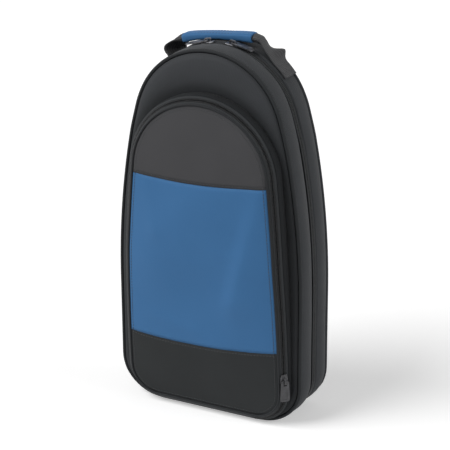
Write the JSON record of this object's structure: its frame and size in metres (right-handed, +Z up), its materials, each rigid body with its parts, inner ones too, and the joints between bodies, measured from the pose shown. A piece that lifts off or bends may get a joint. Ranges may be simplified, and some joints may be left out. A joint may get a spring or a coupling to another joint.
{
  "type": "zipped flute case",
  "caption": "Upright padded zipped flute case with a domed front pocket, a blue pocket panel, two-way zip, fitted block and blue carrying grip.",
  "frame": {"origin": "on the flat base of the rear half's side wall, at the middle of the width", "axes": "+X to the right seen from the pocket, +Y from the pocket to the back panel, +Z up along the case"},
  "size_m": [0.258, 0.1142, 0.4935],
  "materials": {
    "black_cloth": "matte ballistic weave",
    "grey_cloth": "matte ballistic weave",
    "blue_cloth": "satin woven cloth",
    "black_webbing": "ribbed webbing",
    "black_piping": "covered cord",
    "zip_tape": "herringbone tape",
    "zip_coil": "nylon coil",
    "slider_metal": "dark nickel",
    "plush_lining": "short plush"
  },
  "bodies": {
    "rear_half": {"back_panel": "black_cloth", "rear_wall": "black_cloth", "rear_piping": "black_piping", "rear_lining": "plush_lining", "fitted_block": "plush_lining", "rear_zip_tape": "zip_tape", "rear_zip_coil": "zip_coil", "hinge_cloth": "black_cloth", "zip_end_tab_left": "black_webbing", "zip_end_tab_right": "black_webbing", "handle_strap": "black_webbing", "handle_grip": "blue_cloth"},
    "lid_half": {"lid_panel": "black_cloth", "lid_wall": "black_cloth", "lid_piping": "black_piping", "lid_pad": "plush_lining", "lid_zip_tape": "zip_tape", "lid_zip_coil": "zip_coil", "pocket_side": "black_cloth", "pocket_hinge_cloth": "black_cloth", "pocket_side_zip_tape": "zip_tape", "pocket_side_zip_coil": "zip_coil"},
    "pocket_flap": {"pocket_face_bottom": "black_cloth", "pocket_face_middle": "blue_cloth", "pocket_face_top": "grey_cloth", "pocket_piping": "black_piping", "pocket_flap_zip_tape": "zip_tape", "pocket_flap_zip_coil": "zip_coil"},
    "left_slider": {"main_slider_left": "slider_metal"},
    "left_pull": {"main_pull_left": "slider_metal"},
    "right_slider": {"main_slider_right": "slider_metal"},
    "right_pull": {"main_pull_right": "slider_metal"},
    "side_slider": {"pocket_slider": "slider_metal"},
    "side_pull": {"pocket_pull": "slider_metal"}
  },
  "joints": [
    {"name": "lid_hinge", "type": "hinge", "parent": "rear_half", "child": "lid_half", "pos_m": [0, -0.02355, -0.0003], "axis": [1, 0, 0], "range_deg": [0, 170]},
    {"name": "flap_hinge", "type": "hinge", "parent": "lid_half", "child": "pocket_flap", "pos_m": [0, -0.07652, 0.0115], "axis": [1, 0, 0], "range_deg": [0, 86]},
    {"name": "left_slider_travel", "type": "hinge", "parent": "rear_half", "child": "left_slider", "pos_m": [0, -0.02355, 0.38], "axis": [0, 1, 0], "range_deg": [-60, 4]},
    {"name": "right_slider_travel", "type": "hinge", "parent": "rear_half", "child": "right_slider", "pos_m": [0, -0.02355, 0.38], "axis": [0, 1, 0], "range_deg": [-4, 60]},
    {"name": "left_pull_swing", "type": "hinge", "parent": "left_slider", "child": "left_pull", "pos_m": [-0.02001, -0.02355, 0.48389], "axis": [0, 1, 0], "range_deg": [0, 120]},
    {"name": "right_pull_swing", "type": "hinge", "parent": "right_slider", "child": "right_pull", "pos_m": [0.01436, -0.02355, 0.48482], "axis": [0, -1, 0], "range_deg": [0, 120]},
    {"name": "side_slider_travel", "type": "hinge", "parent": "pocket_flap", "child": "side_slider", "pos_m": [-2.70326, -0.07905, 0.055], "axis": [0, -0.9983, -0.058], "range_deg": [0, 2.7]},
    {"name": "side_pull_swing", "type": "hinge", "parent": "side_slider", "child": "side_pull", "pos_m": [0.11547, -0.07841, 0.06983], "axis": [-0.7064, -0.7064, -0.0448], "range_deg": [0, 170]}
  ]
}
